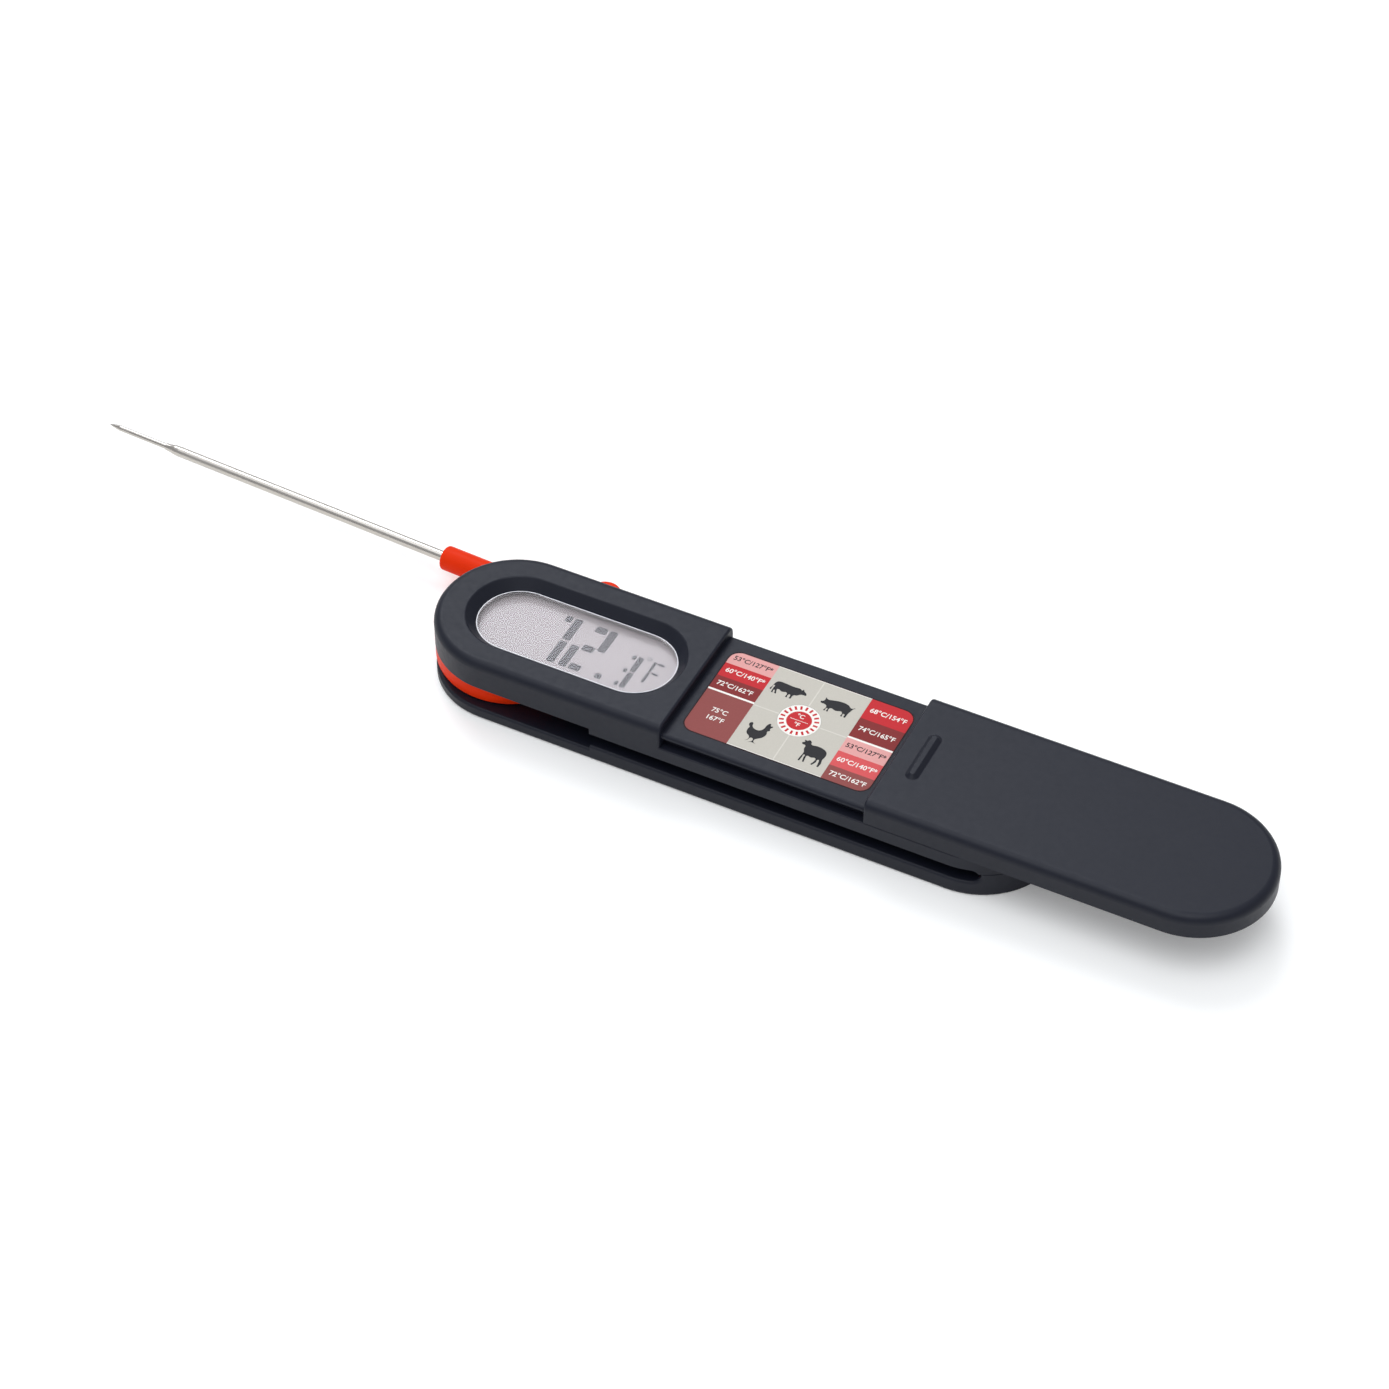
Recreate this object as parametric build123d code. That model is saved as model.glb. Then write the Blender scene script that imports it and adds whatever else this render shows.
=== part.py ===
from build123d import *
import math
import os

# Folding digital meat thermometer, in millimetres.
# Origin: on the resting plane, under the centre of the display end's round end.
# +X runs along the body to the cover's round end, +Y is the side the open probe lies on, +Z is up.
# Rest pose: probe swung fully open past the display end, guard cover slid fully out.

# ---- body ----
HALF_WIDTH = 19.0        # body half width, and radius of its round ends
SPAN = 119.0             # distance between the centres of the two round ends
HEIGHT = 18.0            # resting plane to the top of the display head and cover
FLOOR_Z = 3.2            # top of the base plate under the hub
LIP_Z = 4.3              # lower lip of the probe slot
PARTING_Z = 7.0          # joint between lower and upper housing
SLOT_TOP_Z = 8.3         # upper edge of the probe slot
CEILING_Z = 9.8          # underside of the display head over the hub
LEDGE_Z = 11.85          # ledge the cover's skirt runs on
DECK_Z = 15.5            # deck that carries the guide label
WALL = 1.8               # moulded wall
STEP_X = 47.4            # end face of the display head, where the deck starts
WELL_X = 20.0            # end of the opening the hub turns in, on the far side
STEP_SLOT_X = 29.3       # end of the high part of the near side opening
SLOT_END_X = 126.3       # rounded end of the probe slot
SLOT_DEPTH_Y = -11.9     # inner wall of the probe slot

DECK_HALF_WIDTH = 18.0
GROOVE_HALF_WIDTH = 16.4
GROOVE_TOP_Z = 14.4
RAIL_END_X = 118.9       # end of the deck's rail grooves, the cover's outer stop

TOP_ROUND = 2.1          # rounding of the head's and the cover's top rims
EDGE_ROUND = 0.6         # rounding of their open end faces
DECK_ROUND = 1.0         # rounding of the deck's long edges
FOOT_ROUND = 0.8         # rounding round the resting face
RIM_ROUND = 0.7          # rounding of the lower lip of the openings
FINE_ROUND = 0.3
PARTING_CHAMFER = 0.15   # makes the fine groove at the parting line

# ---- inside of the housings ----
BAY_R = 17.0             # display bay: round end, full width part, then a narrower end
BAY_WIDE_X = 28.2
BAY_END_X = STEP_X - WALL
BAY_NEAR_Y, BAY_FAR_Y = -10.0, 16.4
BAY_TOP_Z = 15.6
BAY_SHELF_Z = 11.2       # floor of the bay over the probe slot
PLATE_TOP_Z = 10.9       # bay plate closes the bay from below
ROOM_NEAR_Y, ROOM_FAR_Y = -10.4, 15.4    # compartment for the circuit board and the cell
ROOM_R = 15.6
ROOM_FLOOR_Z, ROOM_TOP_Z = 1.6, 13.4

# ---- display ----
WINDOW_X0, WINDOW_X1 = 0.95, 31.4        # centres of the window's round ends
LENS_R = 10.0
LENS_FLANGE_R = 11.6
LENS_LOW_Z, LENS_TOP_Z = 13.2, 15.5
LENS_SEAT_Z, GASKET_TOP_Z = 14.2, 14.6
BEZEL_R = 12.4
BEZEL_DEPTH = 2.4
PANEL_X0, PANEL_X1, PANEL_HALF = -9.7, 41.7, 10.7

# ---- pivot and probe ----
PIVOT_X, PIVOT_Y = -1.7, 2.0
OVERTRAVEL = 2.68        # the open probe stands this many degrees past the body's line
FOLD_ANGLE = 180.0 + OVERTRAVEL
HUB_R = 18.6
HUB_Z0, HUB_Z1 = 3.45, 9.55
PROBE_Z = 6.5
ARM_OFFSET = 15.85       # distance from the pivot to the probe's axis
COLLAR_R = 3.05
ARM_BORE_START = 12.0    # this and the next ones are distances along the probe from the pivot
COLLAR_END = 29.3
SHOULDER_START, SHOULDER_END = 106.8, 110.7
POINT_START, POINT_END = 124.7, 127.9
PROBE_R, TIP_R = 1.3, 0.7
PROBE_BORE_R, TIP_BORE_R = 0.95, 0.45
TAB_RADIUS, TAB_REACH, TAB_ANGLE = 4.0, 24.5, 60.6
SLEEVE_R, SLEEVE_BORE_R, POST_R = 4.5, 2.55, 2.5
STOP_R, STOP_ANGLE = 11.5, -20.0         # fold stop, seen from the pivot in the rest pose
MAGNET_ORBIT, MAGNET_ANGLE, MAGNET_R, MAGNET_Z = 15.0, 53.4, 1.5, 7.35

# ---- cover ----
COVER_X0 = 98.2          # open edge of the cover when slid out
COVER_TRAVEL = 50.4
COVER_Z0 = 11.98
COVER_INNER_R = 18.15
COVER_CEILING_Z = 15.75
LIP_LENGTH = 20.0        # length of the cover's two rail lips
LIP_HALF_WIDTH = 16.6
RIB_X, RIB_LENGTH, RIB_WIDTH, RIB_HEIGHT, RIB_SLOPE = 104.3, 15.2, 3.2, 0.9, 49.0

# ---- label, button and board ----
LABEL_X0, LABEL_X1, LABEL_HALF, LABEL_T, LABEL_CORNER = 49.9, 96.8, 14.0, 0.2, 3.0
BUTTON_X, BUTTON_Y, BUTTON_R, BUTTON_GAP = 73.4, 0.0, 5.0, 0.1
BOARD_X0, BOARD_X1, BOARD_Y0, BOARD_Y1 = 54.0, 104.0, -9.6, 14.6
BOARD_Z0, BOARD_Z1 = 9.4, 10.4

# ---- power ----
CELL_X, CELL_Y, CELL_R, CELL_Z0, CELL_T = 84.0, 3.0, 10.0, 2.3, 3.2
DOOR_R, DOOR_NECK_R, DOOR_LUG_R = 13.6, 11.9, 13.2
DOOR_TURN = 50.0         # bayonet travel of the battery door, in degrees
CONTACT_T = 0.2

# ---- fasteners ----
SCREW_SPOTS = [(49.6, 12.6), (49.6, -7.7), (110.0, 11.5), (126.0, -3.0)]
BAY_SCREW_SPOTS = [(-7.8, 12.9), (-7.8, -12.9), (43.7, 13.5), (43.7, -7.6)]
BOSS_R = 3.2
CASE_SCREW_R, CASE_HEAD_R = 0.95, 2.1
BAY_SCREW_R, BAY_HEAD_R = 0.7, 1.6
PIVOT_SCREW_R, PIVOT_HEAD_R = 0.9, 2.2

FAR = 30.0               # reaches past the body's sides and top
FAR_X = 200.0            # reaches past the slid-out cover


# ---- shape helpers ----
def block(x0, x1, y0, y1, z0, z1):
    """Box between two corners."""
    return Pos((x0 + x1) / 2, (y0 + y1) / 2, (z0 + z1) / 2) * Box(x1 - x0, y1 - y0, z1 - z0)


def drum(x, y, radius, z0, z1):
    """Upright cylinder."""
    return Pos(x, y, (z0 + z1) / 2) * Cylinder(radius, z1 - z0)


def slab(x0, x1, radius, z0, z1):
    """Flat bar with round ends centred at x0 and x1 on the X axis."""
    outline = Pos((x0 + x1) / 2, 0) * SlotCenterToCenter(x1 - x0, 2 * radius)
    return Pos(0, 0, z0) * extrude(outline, z1 - z0)


def cone(x, y, r0, r1, z0, z1):
    """Upright truncated cone, radius r0 at z0 and r1 at z1."""
    return Pos(x, y, (z0 + z1) / 2) * Cone(r0, r1, z1 - z0)


def union(pieces):
    """All of a list of solids joined into one."""
    result = pieces[0]
    for piece in pieces[1:]:
        result = result + piece
    return result


def near(a, b):
    """True if two coordinates are the same within a hundredth."""
    return abs(a - b) < 0.01


def edges_at(solid, z, keep=lambda middle: True):
    """Edges lying wholly at one height whose middle passes a test."""
    level = [e for e in solid.edges() if near(e.bounding_box().min.Z, z) and near(e.bounding_box().max.Z, z)]
    return [e for e in level if keep(e.center())]


def on_outside(middle):
    """True for a point on the body's outer wall."""
    return abs(middle.Y) > HALF_WIDTH - 0.5 or middle.X < -10 or middle.X > SPAN + 10


def end_outline(solid, x, low_z):
    """Edges of an end face at x, apart from the one at its foot."""
    face = [e for e in solid.edges() if near(e.bounding_box().min.X, x) and near(e.bounding_box().max.X, x)]
    return [e for e in face if e.bounding_box().max.Z > low_z + 0.05]


def strip(points, thickness, y0, y1):
    """Bent sheet strip: a line of (x, z) points given a thickness and run from y0 to y1."""
    face = trace(Polyline(*points), thickness)
    return Pos(0, y1, 0) * Rot(90, 0, 0) * extrude(face, y1 - y0)


def cross_recess(x, y, reach, z0, z1):
    """Cross-head drive cut into a screw's head."""
    half = 0.3
    return block(x - reach, x + reach, y - half, y + half, z0, z1) + block(
        x - half, x + half, y - reach, y + reach, z0, z1)


def polar(radius, angle):
    """Point at a radius and an angle in degrees."""
    return radius * math.cos(math.radians(angle)), radius * math.sin(math.radians(angle))


def turned(profile):
    """Solid of revolution about the probe's axis from (distance from pivot, radius) points."""
    outline = make_face(Polyline(*[(-along, r) for along, r in profile], close=True))
    return Pos(0, ARM_OFFSET, PROBE_Z) * revolve(outline, Axis.X)


def arm_rod(radius, start, end, dz=0.0):
    """Cylinder along the probe's axis between two distances from the pivot."""
    middle = Pos(-(start + end) / 2, ARM_OFFSET, PROBE_Z + dz)
    return middle * Rot(0, 90, 0) * Cylinder(radius, end - start)


def rod_between(start, end, radius):
    """Cylinder between two points."""
    plane = Plane(origin=(start + end) / 2, z_dir=end - start)
    return plane * Cylinder(radius, (end - start).length)


def open_pose(solid):
    """Takes a solid drawn with the pivot at the origin and the probe along -X to its rest place."""
    return Pos(PIVOT_X, PIVOT_Y, 0) * Rot(0, 0, -OVERTRAVEL) * solid


# ---- openings shared by the housings ----
def hub_opening(z0, z1):
    """Space cleared for the hub, the arm and the folded collar, between two heights."""
    left = block(-2 * FAR, WELL_X, -FAR, FAR, z0, z1)
    collar = block(WELL_X - 1, STEP_SLOT_X, -FAR, ROOM_NEAR_Y - 0.2, z0, z1)
    return left + collar


def probe_slot():
    """Channel along the near side that the folded probe lies in, with a rounded end."""
    end_r = (SLOT_TOP_Z - LIP_Z) / 2
    end_x = SLOT_END_X - end_r
    run = block(WELL_X, end_x, -FAR, SLOT_DEPTH_Y, LIP_Z, SLOT_TOP_Z)
    depth = FAR + SLOT_DEPTH_Y
    end = Pos(end_x, SLOT_DEPTH_Y - depth / 2, LIP_Z + end_r) * Rot(90, 0, 0) * Cylinder(end_r, depth)
    tip_room = block(end_x, SLOT_END_X + 0.9, -16.0, SLOT_DEPTH_Y - 0.5, LIP_Z + 0.4, SLOT_TOP_Z - 0.3)
    return run + end + tip_room


def compartment(x0, z0, z1):
    """Space for the circuit board and the cell, from x0 to the round end."""
    return slab(0, SPAN, ROOM_R, z0, z1) & block(x0, FAR_X, ROOM_NEAR_Y, ROOM_FAR_Y, z0, z1)


# ---- lower housing ----
def make_lower_housing():
    """Base shell with the resting face, the lower half of the slot, the bosses and the door's seat."""
    shell = slab(0, SPAN, HALF_WIDTH, 0, PARTING_Z)
    shell = fillet(edges_at(shell, 0), FOOT_ROUND)
    shell = chamfer(edges_at(shell, PARTING_Z), PARTING_CHAMFER)
    shell = shell - hub_opening(FLOOR_Z, PARTING_Z + 1) - probe_slot()
    rim = edges_at(shell, FLOOR_Z, on_outside) + edges_at(shell, LIP_Z, lambda c: c.Y < 0.5 - HALF_WIDTH)
    shell = fillet(rim, RIM_ROUND)
    shell = shell - compartment(WELL_X + WALL, ROOM_FLOOR_Z, PARTING_Z + 1)
    bosses = [drum(x, y, BOSS_R, 1.0, PARTING_Z) for x, y in SCREW_SPOTS]
    shell = shell + union(bosses) + drum(CELL_X, CELL_Y, 15.2, 1.0, 2.1) - probe_slot()
    for x, y in SCREW_SPOTS:
        shell = shell - drum(x, y, CASE_HEAD_R + 0.2, -1, 3.4) - drum(x, y, CASE_SCREW_R + 0.25, 3, PARTING_Z + 1)
    shell = shell - drum(PIVOT_X, PIVOT_Y, PIVOT_HEAD_R + 0.3, -1, 1.9)
    shell = shell - drum(PIVOT_X, PIVOT_Y, PIVOT_SCREW_R + 0.3, 1, 4)
    return shell - door_seat()


def door_seat():
    """Round recess, bayonet notches and seal groove for the battery door."""
    seat = drum(CELL_X, CELL_Y, DOOR_R + 0.15, -1, 1.1) + drum(CELL_X, CELL_Y, DOOR_NECK_R + 0.2, 0, 3)
    seat = seat + drum(CELL_X, CELL_Y, DOOR_LUG_R + 0.3, 2.1, 3.3)
    seat = seat + door_lugs(DOOR_LUG_R + 0.2, 44.0, -DOOR_TURN, 0.5, 2.6)
    return seat + (drum(CELL_X, CELL_Y, 13.3, 1.0, 1.5) - drum(CELL_X, CELL_Y, 12.4, 0.9, 1.6))


# ---- upper housing ----
def make_upper_housing():
    """Display head, deck with rail grooves, and everything moulded inside them."""
    base = slab(0, SPAN, HALF_WIDTH, PARTING_Z, LEDGE_Z)
    base = chamfer(edges_at(base, PARTING_Z), PARTING_CHAMFER)
    base = fillet(edges_at(base, LEDGE_Z), FINE_ROUND)
    head = slab(0, SPAN, HALF_WIDTH, LEDGE_Z - 1, HEIGHT)
    head = fillet(edges_at(head, HEIGHT), TOP_ROUND) & block(-FAR, STEP_X, -FAR, FAR, 0, FAR)
    head = fillet(end_outline(head, STEP_X, LEDGE_Z - 1), EDGE_ROUND)
    deck = slab(0, SPAN, DECK_HALF_WIDTH, LEDGE_Z - 1, DECK_Z)
    deck = fillet(edges_at(deck, DECK_Z), DECK_ROUND) & block(STEP_X - 2, FAR_X, -FAR, FAR, 0, FAR)
    shell = base + head + deck
    for side in (-1, 1):
        y0, y1 = sorted((side * GROOVE_HALF_WIDTH, side * FAR))
        shell = shell - block(STEP_X, RAIL_END_X, y0, y1, LEDGE_Z, GROOVE_TOP_Z)
    shell = shell - hub_opening(PARTING_Z - 1, CEILING_Z) - probe_slot()
    shell = fillet(edges_at(shell, CEILING_Z, on_outside), FINE_ROUND)
    shell = shell - display_bay() - compartment(52, PARTING_Z - 1, ROOM_TOP_Z)
    shell = shell - (compartment(WELL_X, PARTING_Z - 1, CEILING_Z) & block(WELL_X, BAY_END_X, -FAR, FAR, 0, FAR))
    shell = cut_window(shell)
    shell = shell - block(BAY_END_X - 0.6, 53, -6.1, 6.1, PLATE_TOP_Z, 12.3)
    return cut_deck(add_bosses(shell))


def display_bay():
    """Room over the hub for the liquid crystal panel and its flex, round the window's collar."""
    low = CEILING_Z - 0.2
    bay = slab(0, SPAN, BAY_R, low, BAY_TOP_Z) & block(-FAR, BAY_WIDE_X, -FAR, FAR, 0, FAR)
    bay = bay + block(WELL_X, BAY_END_X, BAY_NEAR_Y, BAY_FAR_Y, low, BAY_TOP_Z)
    bay = bay + block(BAY_WIDE_X - 0.2, BAY_END_X, -BAY_FAR_Y, 0, BAY_SHELF_Z, BAY_TOP_Z)
    bay = bay - slab(WINDOW_X0, WINDOW_X1, LENS_FLANGE_R + 2, LENS_LOW_Z, BAY_TOP_Z + 1)
    return bay - union([drum(x, y, 1.8, PLATE_TOP_Z + 0.05, BAY_TOP_Z + 1) for x, y in BAY_SCREW_SPOTS])


def cut_window(shell):
    """Window with its sloping bezel, and the seat for the lens and gasket behind it."""
    lens_room = LENS_R + 0.12
    shell = shell - slab(WINDOW_X0, WINDOW_X1, LENS_FLANGE_R + 0.2, 12, GASKET_TOP_Z)
    shell = shell - slab(WINDOW_X0, WINDOW_X1, lens_room, 14, HEIGHT + 1)
    middle_x = (WINDOW_X0 + WINDOW_X1) / 2
    mouth = Pos(middle_x, 0, HEIGHT) * SlotCenterToCenter(WINDOW_X1 - WINDOW_X0, 2 * BEZEL_R)
    slope = math.degrees(math.atan((BEZEL_R - lens_room) / BEZEL_DEPTH))
    shell = shell - extrude(mouth, -BEZEL_DEPTH, taper=slope)
    lip = edges_at(shell, HEIGHT, lambda c: abs(c.Y) < BEZEL_R + 0.2 and abs(c.X - middle_x) < 28.5)
    return fillet(lip, 0.5)


def add_bosses(shell):
    """Screw bosses and pilot holes."""
    for x, y in SCREW_SPOTS[2:]:
        shell = shell + drum(x, y, BOSS_R, PARTING_Z, ROOM_TOP_Z + 0.1)
    for x, y in SCREW_SPOTS:
        shell = shell - drum(x, y, CASE_SCREW_R, PARTING_Z - 1, 13.2)
    for x, y in BAY_SCREW_SPOTS:
        shell = shell - drum(x, y, BAY_SCREW_R, 10.5, 14.6)
    return shell


def cut_deck(shell):
    """Button hole and label recess in the deck."""
    shell = shell - drum(BUTTON_X, BUTTON_Y, BUTTON_R + BUTTON_GAP, 12, DECK_Z + 1)
    return shell - Pos(0, 0, DECK_Z - LABEL_T) * extrude(label_outline(0.05), 1)


def make_bay_plate():
    """Plate that closes the display bay from below and carries the pivot post and fold stop."""
    gap = 0.1
    plate = slab(0, SPAN, BAY_R - gap, CEILING_Z, PLATE_TOP_Z) & block(-FAR, BAY_WIDE_X - gap, -FAR, FAR, 0, FAR)
    plate = plate + block(WELL_X, BAY_END_X - gap, BAY_NEAR_Y + gap, BAY_FAR_Y - gap, CEILING_Z, PLATE_TOP_Z)
    plate = plate + drum(PIVOT_X, PIVOT_Y, POST_R, FLOOR_Z, CEILING_Z + 0.5)
    stop_x, stop_y = polar(STOP_R, STOP_ANGLE)
    plate = plate + drum(PIVOT_X + stop_x, PIVOT_Y + stop_y, 0.9, 8.3, CEILING_Z + 0.5)
    plate = plate - drum(PIVOT_X, PIVOT_Y, PIVOT_SCREW_R, 3, 9.4)
    for x, y in BAY_SCREW_SPOTS:
        plate = plate - drum(x, y, BAY_HEAD_R + 0.1, 9, 10.4) - drum(x, y, BAY_SCREW_R + 0.1, 9, 12)
    return plate


# ---- display ----
def make_display_lens():
    """Clear window with a flange that is held from behind."""
    lens = slab(WINDOW_X0, WINDOW_X1, LENS_R, LENS_LOW_Z + 0.3, LENS_TOP_Z)
    lens = fillet(edges_at(lens, LENS_TOP_Z), FINE_ROUND)
    return lens + slab(WINDOW_X0, WINDOW_X1, LENS_FLANGE_R, LENS_LOW_Z, LENS_SEAT_Z)


def make_lens_gasket():
    """Flat ring between the lens's flange and the head."""
    ring = slab(WINDOW_X0, WINDOW_X1, LENS_FLANGE_R, LENS_SEAT_Z, GASKET_TOP_Z)
    return ring - slab(WINDOW_X0, WINDOW_X1, LENS_R + 0.4, 14, 15)


def make_lcd_panel():
    """Two sheets of glass; the lower one is longer and carries the contacts."""
    lower = block(PANEL_X0, PANEL_X1, -PANEL_HALF, PANEL_HALF, 11.5, 12.6)
    return lower + block(PANEL_X0, PANEL_X1 - 1.4, -PANEL_HALF, PANEL_HALF, 12.6, LENS_LOW_Z - 0.05)


def make_lcd_backing():
    """White reflector film behind the glass."""
    return block(PANEL_X0 + 0.5, 37.0, -9.8, 9.8, PLATE_TOP_Z + 0.02, 11.48)


def make_lcd_flex():
    """Flexible strip from the glass down to the circuit board."""
    glass_z, board_z = 11.42, BOARD_Z1 + 0.08
    return strip([(38.4, glass_z), (53.0, glass_z), (55.0, board_z), (58.0, board_z)], 0.14, -5.6, 5.6)


# ---- label, button and board ----
def label_outline(extra):
    """Outline of the guide label, made larger all round by a small amount."""
    middle = Pos((LABEL_X0 + LABEL_X1) / 2, 0)
    return middle * RectangleRounded(
        LABEL_X1 - LABEL_X0 + 2 * extra, 2 * (LABEL_HALF + extra), LABEL_CORNER + extra)


def make_guide_label():
    """Printed film in the deck's recess, with a hole for the button."""
    label = Pos(0, 0, DECK_Z - LABEL_T) * extrude(label_outline(0), LABEL_T)
    return label - drum(BUTTON_X, BUTTON_Y, BUTTON_R + BUTTON_GAP, 14, 16)


def make_unit_button():
    """Round button with a retaining flange and a plunger for the switch."""
    cap = drum(BUTTON_X, BUTTON_Y, BUTTON_R, 12.6, DECK_Z)
    cap = fillet(edges_at(cap, DECK_Z), 0.1)
    flange = drum(BUTTON_X, BUTTON_Y, BUTTON_R + 1.2, 12.4, ROOM_TOP_Z - 0.2)
    return cap + flange + drum(BUTTON_X, BUTTON_Y, 1.5, BOARD_Z1 + 0.4, 12.5)


def make_dome_switch():
    """Thin metal dome on the circuit board."""
    rim_z = BOARD_Z1 + 0.15
    outer = drum(BUTTON_X, BUTTON_Y, 3.0, BOARD_Z1, rim_z)
    outer = outer + cone(BUTTON_X, BUTTON_Y, 3.0, 1.6, rim_z, BOARD_Z1 + 0.38)
    return outer - cone(BUTTON_X, BUTTON_Y, 2.7, 1.3, BOARD_Z1 - 0.01, BOARD_Z1 + 0.23)


def make_circuit_board():
    """Board with two fixing holes."""
    board = block(BOARD_X0, BOARD_X1, BOARD_Y0, BOARD_Y1, BOARD_Z0, BOARD_Z1)
    board = fillet(board.edges().filter_by(Axis.Z), 1.0)
    for x, y in ((BOARD_X0 + 3, BOARD_Y1 - 2.5), (BOARD_X1 - 3, BOARD_Y0 + 2.5)):
        board = board - drum(x, y, 0.8, 9, 11)
    return board


def make_controller_chip():
    """Square package of the controller."""
    return block(60.5, 67.5, 5.0, 12.0, BOARD_Z1, BOARD_Z1 + 0.9)


def make_board_components():
    """Small chip parts and the crystal."""
    spots = [(62.0, -4.0), (62.0, -6.5), (83.0, 7.5), (86.0, 7.5), (89.0, 7.5), (83.0, -6.0), (86.0, -6.0)]
    chips = [block(x, x + 1.6, y, y + 0.8, BOARD_Z1, BOARD_Z1 + 0.5) for x, y in spots]
    crystal = block(92.0, 98.0, -7.0, -4.8, BOARD_Z1, BOARD_Z1 + 1.5)
    return Compound([*chips, crystal])


# ---- power ----
def make_battery_cell():
    """Coin cell, lying in the door."""
    can = drum(CELL_X, CELL_Y, CELL_R, CELL_Z0, CELL_Z0 + CELL_T)
    return fillet(edges_at(can, CELL_Z0), 0.4)


def make_contact_minus():
    """Spring strip from under the board to the cell's upper face."""
    top_z = BOARD_Z0 - CONTACT_T / 2 - 0.01
    low_z = CELL_Z0 + CELL_T + CONTACT_T / 2 + 0.02
    line = [(CELL_X - 9, top_z), (CELL_X - 4, top_z), (CELL_X - 1, low_z), (CELL_X + 2, low_z)]
    return strip(line, CONTACT_T, CELL_Y - 2, CELL_Y + 2)


def make_contact_plus():
    """Spring strip from under the board down the cell's rim."""
    top_z = BOARD_Z0 - CONTACT_T / 2 - 0.01
    side_x = CELL_X + CELL_R + CONTACT_T / 2 + 0.06
    line = [(side_x, CELL_Z0 + 0.8), (side_x, top_z), (side_x + 3.5, top_z)]
    return strip(line, CONTACT_T, CELL_Y - 2.5, CELL_Y + 2.5)


def door_lugs(radius, width_deg, turn_deg, z0, z1):
    """Three bayonet sectors round the cell's axis, reaching in to the door's neck."""
    ring = drum(CELL_X, CELL_Y, radius, z0, z1) - drum(CELL_X, CELL_Y, DOOR_NECK_R - 0.2, z0, z1)
    lugs = []
    for k in range(3):
        middle = 120 * k + turn_deg
        start, end = (polar(1.6 * radius, middle + side * width_deg / 2) for side in (-1, 1))
        wedge = make_face(Polyline((0, 0), start, end, close=True))
        lugs.append(ring & (Pos(CELL_X, CELL_Y, z0) * extrude(wedge, z1 - z0)))
    return union(lugs)


def make_battery_door():
    """Round door with a coin slot, a cup for the cell and three bayonet lugs."""
    door = drum(CELL_X, CELL_Y, DOOR_R, 0.1, 1.05)
    door = fillet(edges_at(door, 0.1), FINE_ROUND)
    door = door + drum(CELL_X, CELL_Y, DOOR_NECK_R, 1.0, 3.0) + door_lugs(DOOR_LUG_R, 40.0, 0.0, 2.2, 3.0)
    door = door - drum(CELL_X, CELL_Y, CELL_R + 0.3, CELL_Z0 - 0.05, 4)
    return door - Pos(CELL_X, CELL_Y, -0.5) * extrude(SlotOverall(16, 2.2), 1.6)


def make_door_seal():
    """Ring in the groove behind the door's flange."""
    return Pos(CELL_X, CELL_Y, 1.275) * Torus(12.85, 0.22)


# ---- fasteners and pivot ----
def make_case_screws():
    """Four screws that hold the housings together from below."""
    screws = []
    for x, y in SCREW_SPOTS:
        head = drum(x, y, CASE_HEAD_R, 2.0, 3.4) - cross_recess(x, y, 1.5, 1.9, 2.7)
        screws.append(head + drum(x, y, CASE_SCREW_R, 3.3, 12.4))
    return Compound(screws)


def make_bay_screws():
    """Four screws that hold the bay plate up in the head."""
    screws = [drum(x, y, BAY_HEAD_R, 9.85, 10.4) + drum(x, y, BAY_SCREW_R, 10.3, 14.2) for x, y in BAY_SCREW_SPOTS]
    return Compound(screws)


def make_pivot_screw():
    """Screw up into the pivot post, which ties the base plate to the head."""
    head = drum(PIVOT_X, PIVOT_Y, PIVOT_HEAD_R, 0.5, 1.9) - cross_recess(PIVOT_X, PIVOT_Y, 1.6, 0.4, 1.2)
    return head + drum(PIVOT_X, PIVOT_Y, PIVOT_SCREW_R, 1.8, 9.0)


def make_pivot_sleeve():
    """Plain bearing sleeve on the pivot post."""
    return drum(PIVOT_X, PIVOT_Y, SLEEVE_R, FLOOR_Z, CEILING_Z) - drum(PIVOT_X, PIVOT_Y, SLEEVE_BORE_R, 3, 10)


def make_washer(z0, z1):
    """Thin bearing washer round the sleeve."""
    return drum(PIVOT_X, PIVOT_Y, 7.5, z0, z1) - drum(PIVOT_X, PIVOT_Y, SLEEVE_R + 0.1, z0 - 1, z1 + 1)


def make_lower_washer():
    return make_washer(FLOOR_Z, HUB_Z0 - 0.02)


def make_upper_washer():
    return make_washer(HUB_Z1 + 0.02, CEILING_Z)


def make_reed_switch():
    """Glass switch over the hub's magnet, with its two leads."""
    place = Pos(8.5, 13.6, 11.85) * Rot(0, 90, 0)
    return place * (Cylinder(0.9, 8.0) + Cylinder(0.25, 13.0))


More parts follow.
